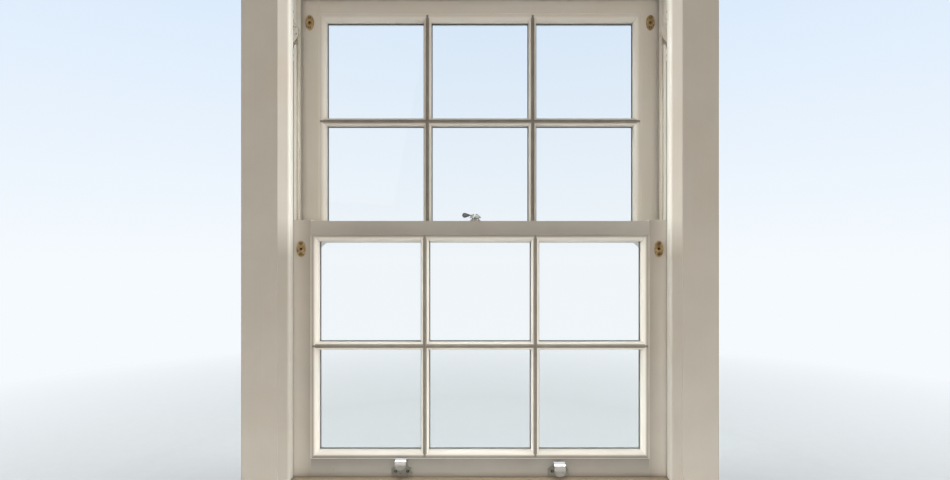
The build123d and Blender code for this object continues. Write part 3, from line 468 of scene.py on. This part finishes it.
def putty(g):
    """Painted outside, dragged and split, and a grey bed where it is seen through the glass."""
    at = g.place()
    nx, ny, nz = g.xyz(g.facing())
    colour, height, shine = paint_layer(g, at, None, outside_paint)
    drag = g.noise(at, 210, 4, 0.65, 0.5)
    split = g.step(g.noise(at, 150, 4, 0.7, 1.5), 0.64, 0.72)
    colour = g.mix(g.times(split, 0.5), colour, srgb(120, 108, 92))
    bed = g.mix(g.noise(at, 120, 3), srgb(196, 198, 204), srgb(172, 174, 180))
    colour = g.mix(g.step(ny, -0.3, -0.6), colour, bed)
    return {"Base Color": colour, "Roughness": g.add(shine, 0.15),
            "Normal": g.bump(g.add(height, g.times(drag, 2.0)), 0.0001, 0.9)}


def old_glass(g):
    at = g.place()
    wave = g.noise(g.grained(at, upright, 1.0, 0.45), 14, 2, 0.4, 0.3)
    ream = g.noise(g.grained(at, upright, 1.0, 0.12), 60, 1)
    dust_and_shade = g.noise(at, 240, 4, 0.6)
    return {"Base Color": (0.985, 0.995, 0.992, 1.0), "Transmission Weight": 1.0, "IOR": 1.5,
            "Roughness": g.times(g.step(dust_and_shade, 0.62, 0.8), 0.03),
            "Normal": g.bump(g.add(wave, g.times(ream, 0.15)), 0.0004, 0.25)}


def dull_brass(g):
    at = g.place()
    cloud = g.noise(at, 130, 4, 0.6, 0.4)
    fine = g.noise(at, 1500, 3, 0.6)
    dull = g.step(cloud, 0.4, 0.68)
    colour = g.mix(dull, srgb(198, 170, 126), srgb(134, 114, 82))
    colour = g.mix(g.hollows(0.002), colour, srgb(58, 44, 28))
    return {"Base Color": colour, "Metallic": 0.5, "Roughness": g.blend(dull, 0.34, 0.58),
            "Normal": g.bump(g.add(cloud, g.times(fine, 0.3)), 0.00008, 0.8)}


def cast_iron(g):
    at = g.place()
    sand = g.noise(at, 620, 5, 0.7)
    patch = g.noise(at, 45, 4, 0.6, 0.5)
    rust = g.step(patch, 0.5, 0.66)
    rusty = g.mix(sand, srgb(112, 66, 40), srgb(78, 46, 32))
    return {"Base Color": g.mix(rust, srgb(66, 62, 60), rusty),
            "Metallic": g.blend(rust, 0.55, 0.0), "Roughness": g.blend(rust, 0.58, 0.88),
            "Normal": g.bump(g.add(sand, g.times(patch, 0.8)), 0.0004, 0.8)}


def pulley_case(g):
    """Cast iron, its face plate under the channel's paint, and bare where the cord rubs it."""
    at = g.place()
    x, y, z = g.xyz(at)
    sand = g.noise(at, 620, 5, 0.7)
    rust = g.step(g.noise(at, 70, 4, 0.6), 0.48, 0.64)
    metal = g.mix(rust, srgb(74, 70, 66), srgb(104, 66, 42))
    paint, height, shine = paint_layer(g, at, upright, room_paint)
    front = g.step(g.size_of(x), half_opening + 0.0022, half_opening + 0.0016)
    rubbed_and_lit = g.step(g.add(g.hollows(0.004), g.times(g.noise(at, 260, 4), 0.6)), 0.62, 0.72)
    coat = g.times(front, g.rest(rubbed_and_lit))
    return {"Base Color": g.mix(coat, metal, paint), "Metallic": g.times(0.5, g.rest(coat)),
            "Roughness": g.blend(coat, 0.62, shine),
            "Normal": g.bump(g.blend(coat, g.times(sand, 4.0), height), 0.00008, 0.9)}


def wheel_metal(g):
    """Rusty metal, with chipped paint on the wheel's two sides."""
    at = g.place()
    nx, ny, nz = g.xyz(g.facing())
    sand = g.noise(at, 700, 4, 0.65)
    chip = g.noise(at, 160, 4, 0.6, 0.4)
    rust = g.step(g.noise(at, 90, 4, 0.6, 0.4), 0.5, 0.66)
    metal = g.mix(rust, srgb(96, 92, 86), srgb(112, 76, 50))
    paint, height, shine = paint_layer(g, at, None, room_paint)
    coat = g.times(g.step(g.size_of(ny), 0.6, 0.8), g.step(chip, 0.68, 0.60))
    return {"Base Color": g.mix(coat, metal, paint), "Metallic": g.times(0.7, g.rest(coat)),
            "Roughness": g.blend(coat, 0.5, shine),
            "Normal": g.bump(g.blend(coat, sand, height), 0.00012, 0.7)}


def plated(bright, tarnish, shine, metal, dark_place=None, rubbed_and_lit=None):
    """Worn plating: fine scratches, tarnish in clouds, painted shade in every corner, a darker colour
    where dark_place says (darker metal on the knob, painted shade on the base's collar), and polish
    where rubbed does, which on a lift leaves only the curl's underside tarnished, as painted shade."""
    def draw(g):
        at = g.place()
        x, y, z = g.xyz(at)
        cloud = g.noise(at, 170, 5, 0.6, 0.5)
        scratch = g.noise(g.scaled(at, (180, 900, 2600)), 1.0, 3, 0.6)
        worn = g.step(cloud, 0.42, 0.68)
        # Polish where rubbed says: on a lift it is wear on the curl, and leaving the curl's underside
        # tarnished is painted shade.
        if rubbed_and_lit is not None:
            worn = g.times(g.add(0.6, g.times(worn, 0.4)), g.rest(rubbed_and_lit(g, x, y, z)))
        colour = g.mix(worn, bright, tarnish)
        # Painted shade: near black in the corners.
        colour = g.mix(g.times(g.hollows(0.003), 0.85), colour, srgb(52, 50, 46))
        # Darker where dark_place says: darker metal on the fastener's knob, painted shade on its
        # base's collar.
        if dark_place is not None:
            dark = g.mix(cloud, srgb(138, 140, 150), srgb(104, 106, 114))
            colour = g.mix(dark_place(g, x, y, z), colour, dark)
        return {"Base Color": colour, "Metallic": metal, "Roughness": g.blend(worn, *shine),
                "Normal": g.bump(g.add(g.times(scratch, 0.4), cloud), 0.00005, 0.7)}
    return draw


knob_x = (fastener_x - 0.0112, fastener_x - 0.0122)
collar_z, collar_y = (0.6122, 0.6132), (0.012, 0.010)
curl_y = (-0.0545, -0.0575)


def lever_knob(g, x, y, z):
    return g.step(x, *knob_x)


def collar_shade(g, x, y, z):
    """Painted shade under the lever: the ring at the top of the base, where the lever turns on it."""
    return g.times(g.step(z, *collar_z), g.step(y, *collar_y))


def lift_curl_lit(g, x, y, z):
    """The curl that stands out from the plate and takes the fingers, but not its downward faces,
    which stay tarnished as painted shade under the curl.
    """
    nx, ny, nz = g.xyz(g.facing())
    return g.times(g.step(y, *curl_y), g.step(nz, -0.45, 0.25))


def screw_heads(brass_where=None):
    """Steel, and brass where brass_where says."""
    def draw(g):
        at = g.place()
        x, y, z = g.xyz(at)
        cloud = g.noise(at, 420, 4, 0.6)
        colour = g.mix(cloud, srgb(132, 130, 124), srgb(84, 80, 74))
        if brass_where is not None:
            brass = g.mix(cloud, srgb(158, 138, 98), srgb(104, 88, 60))
            colour = g.mix(brass_where(g, x, z), colour, brass)
        # Painted shade: near black in the slots and corners.
        colour = g.mix(g.times(g.hollows(0.0015), 0.9), colour, srgb(34, 30, 26))
        return {"Base Color": colour, "Metallic": 1.0, "Roughness": g.blend(cloud, 0.32, 0.6),
                "Normal": g.bump(cloud, 0.00006, 0.6)}
    return draw


stop_screw_x, stop_screw_z = 0.3, 0.5         # all stop plate screws lie outside and above these


def beside_panes(g, x, z):
    """The stop plates' screws on the upper sash."""
    return above(g, g.size_of(x), stop_screw_x)


def high_beside_panes(g, x, z):
    """The same on the lower sash, whose lifts have screws low down."""
    return g.times(beside_panes(g, x, z), above(g, z, stop_screw_z))


def braided_cord(g):
    """Braided cotton under old paint: two sets of strands that cross at a slant, round the cord."""
    x, y, z = g.xyz(g.place())
    nx, ny, nz = g.xyz(g.facing())
    strands, slant = 8, 260.0
    turn = g.times(g.math("ARCTAN2", ny, nx), strands / (2 * math.pi))
    rise = g.times(z, slant)
    one = g.size_of(g.math("SINE", g.times(g.add(turn, rise), math.pi)))
    two = g.size_of(g.math("SINE", g.times(g.math("SUBTRACT", turn, rise), math.pi)))
    strand = g.most(one, two)
    soil_and_shade = g.noise(g.place(), 60, 4, 0.6)
    colour = g.mix(soil_and_shade, srgb(234, 228, 216), srgb(216, 208, 194))
    # Painted shade in the grooves between the strands.
    colour = g.mix(g.step(strand, 0.85, 0.70), colour, srgb(168, 158, 142))
    return {"Base Color": colour, "Roughness": 0.78, "Normal": g.bump(strand, 0.0004, 0.9)}


finishes = {name: painted(name, grain, **how) for name, (grain, how) in painted_finishes.items()}
lift_metal = srgb(226, 224, 222), srgb(150, 150, 142), (0.22, 0.48), 0.65
plate_metal = srgb(200, 200, 196), srgb(164, 164, 160), (0.5, 0.66), 0.45
arm_metal = srgb(216, 222, 222), srgb(178, 184, 184), (0.46, 0.62), 0.45
for name, draw in {
    "bare_board": bare_board,
    "varnished_bead": varnished_bead,
    "putty": putty,
    "old_glass": old_glass,
    "dull_brass": dull_brass,
    "cast_iron": cast_iron,
    "pulley_case": pulley_case,
    "wheel_metal": wheel_metal,
    "lift_plate": plated(*lift_metal, rubbed_and_lit=lift_curl_lit),
    "fastener_plate": plated(*plate_metal, dark_place=collar_shade),
    "fastener_arm": plated(*arm_metal, dark_place=lever_knob),
    "steel_screws": screw_heads(),
    "lower_screws": screw_heads(high_beside_panes),
    "upper_screws": screw_heads(beside_panes),
    "braided_cord": braided_cord,
}.items():
    finishes[name] = material(name, draw)


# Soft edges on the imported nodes
join_distance = 1e-6
smooth_angle = 0.9            # edges that turn more than this stay sharp, in radians
bevel_angle = 0.6
flat_angle = 0.003


def soft_edges():
    """Two node groups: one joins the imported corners, the other shades smooth up to smooth_angle."""
    def group(name):
        made = bpy.data.node_groups.new(name, "GeometryNodeTree")
        for way in ("INPUT", "OUTPUT"):
            made.interface.new_socket("Geometry", in_out=way, socket_type="NodeSocketGeometry")
        return made, made.nodes.new("NodeGroupInput"), made.nodes.new("NodeGroupOutput")

    join, start, end = group("joined_corners")
    bare = join.nodes.new("GeometryNodeRemoveAttribute")
    bare.inputs["Name"].default_value = "custom_normal"
    merge = join.nodes.new("GeometryNodeMergeByDistance")
    merge.inputs["Distance"].default_value = join_distance
    join.links.new(start.outputs[0], bare.inputs["Geometry"])
    join.links.new(bare.outputs[0], merge.inputs["Geometry"])
    join.links.new(merge.outputs[0], end.inputs[0])

    shade, start, end = group("smooth_by_angle")
    faces = shade.nodes.new("GeometryNodeSetShadeSmooth")
    faces.domain = "FACE"
    edges = shade.nodes.new("GeometryNodeSetShadeSmooth")
    edges.domain = "EDGE"
    edges.inputs["Shade Smooth"].default_value = False
    angle = shade.nodes.new("GeometryNodeInputMeshEdgeAngle")
    wide = shade.nodes.new("ShaderNodeMath")
    wide.operation = "GREATER_THAN"
    wide.inputs[1].default_value = smooth_angle
    shade.links.new(angle.outputs[0], wide.inputs[0])
    shade.links.new(start.outputs[0], faces.inputs["Geometry"])
    shade.links.new(faces.outputs[0], edges.inputs["Geometry"])
    shade.links.new(wide.outputs[0], edges.inputs["Selection"])
    shade.links.new(edges.outputs[0], end.inputs[0])
    return join, shade


joined_corners, smooth_by_angle = soft_edges()


def soften(piece, width):
    """Rounds a node's sharp edges with a bevel of that width."""
    join = piece.modifiers.new("joined_corners", "NODES")
    join.node_group = joined_corners
    flat = piece.modifiers.new("flat_faces", "DECIMATE")
    flat.decimate_type = "DISSOLVE"
    flat.angle_limit = flat_angle
    bevel = piece.modifiers.new("soft_edge", "BEVEL")
    bevel.width = width
    bevel.segments = 2
    bevel.limit_method = "ANGLE"
    bevel.angle_limit = bevel_angle
    smooth = piece.modifiers.new("smooth_by_angle", "NODES")
    smooth.node_group = smooth_by_angle
    weigh = piece.modifiers.new("even_shading", "WEIGHTED_NORMAL")
    weigh.keep_sharp = True


def pair(stem):
    return [f"{stem}_{side}" for side, sign in sides]


def four(stem):
    return [name for which in sash_y for name in pair(f"{stem}_{which}")]


# The finish of each node, with the width of its soft edges, or None where they are left as packed
board_edge, sash_edge, bar_edge, iron_edge, metal_edge = 0.0008, 0.0005, 0.0004, 0.0012, 0.0002
plan = {
    "room_stile": (sash_edge, pair("lower_stile") + pair("upper_stile")),
    "room_rail": (sash_edge, ["lower_meeting_rail", "upper_meeting_rail"]),
    "room_top_rail": (sash_edge, ["upper_top_rail"]),
    "room_bottom_rail": (sash_edge, ["lower_bottom_rail"]),
    "room_bars": (bar_edge, ["lower_glazing_bars", "upper_glazing_bars"]),
    "room_lining": (board_edge, pair("inside_lining")),
    "room_head_lining": (board_edge, ["inside_lining_head"]),
    "room_bead": (board_edge, ["parting_beads", "pocket_pieces"]),
    "staff_bead": (board_edge, pair("staff_bead")),
    "room_bead_head": (board_edge, ["staff_bead_head"]),
    "channel_stile": (board_edge, pair("pulley_stile")),
    "channel_head": (board_edge, ["head"]),
    "outside_lining": (board_edge, pair("outside_lining")),
    "outside_head_lining": (board_edge, ["outside_lining_head"]),
    "outside_sill": (board_edge, ["sill"]),
    "bare_board": (board_edge, ["back_linings", "parting_slips"]),
    "varnished_bead": (board_edge, ["sill_bead"]),
    "putty": (None, ["lower_putty", "upper_putty"]),
    "old_glass": (None, ["lower_panes", "upper_panes"]),
    "dull_brass": (metal_edge, ["lower_stop_plates", "upper_stop_plates"]),
    "cast_iron": (iron_edge, four("sash_weight")),
    "pulley_case": (metal_edge, four("pulley_case")),
    "wheel_metal": (metal_edge, four("pulley_wheel")),
    "lift_plate": (metal_edge, pair("sash_lift")),
    "fastener_plate": (metal_edge, ["fastener_base", "fastener_keep"]),
    "fastener_arm": (metal_edge, ["fastener_lever"]),
    "steel_screws": (None, ["pulley_axles", "frame_screws"]),
    "lower_screws": (None, ["lower_screws"]),
    "upper_screws": (None, ["upper_screws"]),
    "braided_cord": (None, four("sash_cord")),
}
for finish, (width, names) in plan.items():
    for name in names:
        piece = nodes[name]
        for one in piece.material_slots:
            one.material = finishes[finish]
        if width is not None:
            soften(piece, width)
for name in ("lower_panes", "upper_panes"):
    nodes[name].visible_shadow = False


# Pieces that the imported nodes lack: cords, their knots, and cut threads
def add_mesh(name, points, faces, finish, slot):
    mesh = bpy.data.meshes.new(name)
    mesh.from_pydata([tuple(p) for p in points], [], faces)
    mesh.validate()
    made = bpy.data.objects.new(name, mesh)
    bpy.context.scene.collection.objects.link(made)
    mesh.materials.append(finishes[finish])
    mesh.polygons.foreach_set("use_smooth", [True] * len(mesh.polygons))
    return made


def tube(path, radius, around=16, closed=False):
    """Points and faces of a round tube along a path, its ends capped unless the path is closed."""
    count = len(path)
    points, faces = [], []
    side = None
    for i, here in enumerate(path):
        before = path[i - 1] if closed or i else here
        after = path[(i + 1) % count] if closed or i < count - 1 else here
        along = (after - before).normalized()
        if side is None:
            side = along.orthogonal().normalized()
        side = (side - along * side.dot(along)).normalized()
        other = along.cross(side)
        for k in range(around):
            a = 2 * math.pi * k / around
            points.append(here + radius * (math.cos(a) * side + math.sin(a) * other))
    for i in range(count if closed else count - 1):
        a, b = i * around, (i + 1) % count * around
        faces += [(a + k, a + (k + 1) % around, b + (k + 1) % around, b + k) for k in range(around)]
    if not closed:
        faces.append(tuple(reversed(range(around))))
        faces.append(tuple(range((count - 1) * around, count * around)))
    return points, faces


knot_cord_radius = cord_radius * 0.85   # a cord is squeezed in its knot
knot_steps, knot_around = 48, 10
turn_steps = 24


def knot_path(centre):
    """A three-lobed overhand knot drawn up tight round its centre."""
    reach = knot_radius - knot_cord_radius
    path = []
    for i in range(knot_steps):
        t = 2 * math.pi * i / knot_steps
        out = (2 + math.cos(3 * t)) / 3 * reach
        lift = 0.55 * reach * math.sin(3 * t)
        path.append(centre + Vector((out * math.cos(2 * t), out * math.sin(2 * t), lift)))
    return path


def turn_path(sign, y):
    """Half a turn over the wheel."""
    path = []
    for i in range(turn_steps + 1):
        a = math.pi * i / turn_steps
        x = wheel_x - wheel_pitch_radius * math.cos(a)
        path.append(Vector((sign * x, y, pulley_z + wheel_pitch_radius * math.sin(a))))
    return path


def cord_pieces(which, side, sign):
    """A weight's cord: its run to the sash, its turn over the wheel, its run to the weight, and
    the two knots that it ends in."""
    y = sash_y[which]
    sash_body, weight_body = f"{which}_sash", f"sash_weight_{which}_{side}"
    sash_knot = Vector((sign * cord_x, y, sash_knot_z[which]))
    weight_knot = Vector((sign * weight_x, y, weight_top_z[which] - weight_knot_drop))

    def cord(part, shape):
        return add_mesh(f"cord_{which}_{side}_{part}", *shape, "braided_cord", "cord")

    def run(part, knot):
        top = Vector((knot.x, y, pulley_z))
        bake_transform(cord(part, tube([knot, top], cord_radius)))

    def tie(part, knot, body):
        loop = tube(knot_path(knot), knot_cord_radius, knot_around, closed=True)
        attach(cord(part, loop), body)

    run("sash_run", sash_knot)
    turn = cord("turn", tube(turn_path(sign, y), cord_radius))
    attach(turn, "frame")
    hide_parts(f"sash_cord_{which}_{side}")
    run("weight_run", weight_knot)
    tie("sash_knot", sash_knot, sash_body)
    tie("weight_knot", weight_knot, weight_body)


thread_turns, turn_sides = 18, 22
thread_start, thread_end = 0.0006, 0.0156     # how deep in the socket
thread_height, thread_half_width = 0.00028, 0.00036
root_radius, crest_radius = socket_radius + 0.00005, socket_radius - thread_height


def thread(which, side, sign):
    """The cut thread in a stop socket: a ridge that winds down the bore."""
    points, faces = [], []
    x, mouth_y, z = sign * plate_x, socket_mouth_y[which], plate_z[which]
    count = thread_turns * turn_sides
    for i in range(count + 1):
        a = 2 * math.pi * i / turn_sides
        y = mouth_y + thread_start + (thread_end - thread_start) * i / count
        for r, dy in ((root_radius, -thread_half_width), (crest_radius, 0),
                      (root_radius, thread_half_width)):
            points.append((x + r * math.cos(a), y + dy, z + r * math.sin(a)))
        if i:
            b = 3 * i
            faces += [(b - 3, b, b + 1, b - 2), (b - 2, b + 1, b + 2, b - 1),
                      (b - 1, b + 2, b, b - 3)]
    faces += [(0, 1, 2), (3 * count, 3 * count + 2, 3 * count + 1)]
    ridge = add_mesh(f"socket_thread_{which}_{side}", points, faces, "dull_brass", "brass")
    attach(ridge, f"{which}_sash")


for which in sash_y:
    for side, sign in sides:
        cord_pieces(which, side, sign)
        thread(which, side, sign)


# Floor, sky and lamps
horizon, zenith = srgb(245, 250, 254), srgb(214, 232, 252)


def seen_rays(g, outdoors):
    """1 for what the camera sees, straight or through glass, and for what mirrors the outdoors."""
    mirrored = g.times(g.ray_is("Glossy"), outdoors)
    return g.most(g.ray_is("Camera"), g.ray_is("Transmission"), mirrored)


floor_rings = (0.6, 1.2, 2.4, 5.0, 12.0, 40.0, 120.0)
floor_sides = 48
floor_z = -0.0005
grey_reach = (0.9, 2.4)       # the floor turns from grey to the horizon's colour between these
pale_y, pale_reach = -0.12, (0.38, 0.6)       # the pale strip's middle, and where it ends


def floor_draw(g):
    """Grey near the window, turning to the horizon's colour further off. For light that bounces it
    is pale beside the window's plane and dark elsewhere, and mirrors show its room side dark."""
    at = g.place()
    x, y, z = g.xyz(at)
    shown = seen_rays(g, g.step(y, 0.0, 0.3))
    beyond = g.step(g.size_of(g.add(y, -pale_y)), *pale_reach)
    bounce = g.mix(beyond, srgb(240, 240, 240), srgb(96, 96, 96))
    bounce = g.mix(g.ray_is("Glossy"), bounce, srgb(70, 67, 62))
    grey = g.mix(g.noise(at, 30, 4), srgb(180, 182, 184), srgb(174, 176, 178))
    near = g.node("BsdfPrincipled", {
        "Base Color": g.mix(shown, bounce, grey), "Roughness": 0.85, "Specular IOR Level": 0.1,
    })
    glow = g.node("Emission", {"Color": horizon, "Strength": 1.0})
    share = g.times(g.step(g.distance(x, y), *grey_reach), shown)
    both = g.node("MixShader", {0: share, 1: near.outputs[0], 2: glow.outputs[0]})
    g.node("OutputMaterial", {"Surface": both.outputs[0]})


def add_floor():
    n = floor_sides
    points, faces = [(0.0, 0.0, 0.0)], [(0, 1 + k, 1 + (k + 1) % n) for k in range(n)]
    for r in floor_rings:
        points += [(r * math.cos(2 * math.pi * k / n), r * math.sin(2 * math.pi * k / n), 0.0)
                   for k in range(n)]
    for i in range(len(floor_rings) - 1):
        a, b = 1 + i * n, 1 + (i + 1) * n
        faces += [(a + k, b + k, b + (k + 1) % n, a + (k + 1) % n) for k in range(n)]
    mesh = bpy.data.meshes.new("floor")
    mesh.from_pydata(points, [], faces)
    made = bpy.data.objects.new("floor", mesh)
    bpy.context.scene.collection.objects.link(made)
    made.location.z = floor_z
    look = bpy.data.materials.new("floor")
    look.use_nodes = True
    floor_draw(Graph(look.node_tree))
    mesh.materials.append(look)


# How bright the sky is for the lit pieces: towards the room, straight out of the window, and round
# the window's own plane at the sides and above. The plane's ring ends between those y.
room_level, sky_level, ring_side, ring_top = 0.20, 0.5, 3.5, 1.2
room_edge, sky_edge = (-0.22, -0.08), (0.28, 0.50)


def add_sky():
    world = bpy.data.worlds.new("sky")
    bpy.context.scene.world = world
    world.use_nodes = True
    g = Graph(world.node_tree)
    x, y, z = g.xyz(g.node("TexCoord").outputs["Generated"])
    seen = g.mix(g.step(z, 0.0, 0.5), horizon, zenith)
    out_of_room = g.step(y, *room_edge)
    ring = g.blend(g.step(z, 0.15, 0.85), ring_side, ring_top)
    bright = g.blend(g.step(y, *sky_edge), g.blend(out_of_room, room_level, ring), sky_level)
    tint = g.mix(out_of_room, srgb(255, 240, 222), srgb(244, 249, 255))
    grey = g.node("CombineColor", {0: bright, 1: bright, 2: bright}).outputs[0]
    lit = g.mix(1.0, tint, grey, "MULTIPLY")
    colour = g.mix(seen_rays(g, g.step(y, -0.1, 0.1)), lit, seen)
    back = g.node("Background", {"Color": colour, "Strength": 1.0})
    g.node("OutputWorld", {"Surface": back.outputs[0]})


# Name, place, aim, width, height, watts, colour, and whether mirrors show it
middle = (0, 0, 0.6)
side_light = srgb(248, 254, 250)
lamps = (
    ("sky_lamp", (0.3, 1.9, 2.1), middle, 2.6, 1.8, 14, srgb(238, 246, 255), False),
    ("room_lamp", (-1.5, -2.3, 1.9), middle, 2.4, 2.0, 8, srgb(255, 240, 222), True),
    ("front_lamp", (1.1, -3.0, 0.62), middle, 3.0, 1.1, 12, srgb(255, 238, 218), False),
    ("low_lamp", (0.2, -1.7, 0.35), (0, 0, 1.1), 3.0, 0.5, 6, srgb(255, 240, 224), False),
    ("left_lamp", (-6.0, -0.8, 2.0), middle, 1.4, 4.0, 245, side_light, True),
    ("right_lamp", (6.0, -0.8, 2.0), middle, 1.4, 4.0, 245, side_light, True),
    ("top_lamp", (0, -0.7, 7.0), middle, 4.0, 1.4, 265, side_light, True),
)


def add_lamp(name, where, aim, width, height, watts, colour, mirrored):
    data = bpy.data.lights.new(name, "AREA")
    data.shape = "RECTANGLE"
    data.size, data.size_y = width, height
    data.energy = watts
    data.color = colour[:3]
    made = bpy.data.objects.new(name, data)
    bpy.context.scene.collection.objects.link(made)
    made.location = where
    made.rotation_euler = (Vector(aim) - Vector(where)).to_track_quat("-Z", "Y").to_euler()
    made.visible_camera = False
    made.visible_transmission = False
    made.visible_glossy = mirrored


add_floor()
add_sky()
for lamp in lamps:
    add_lamp(*lamp)
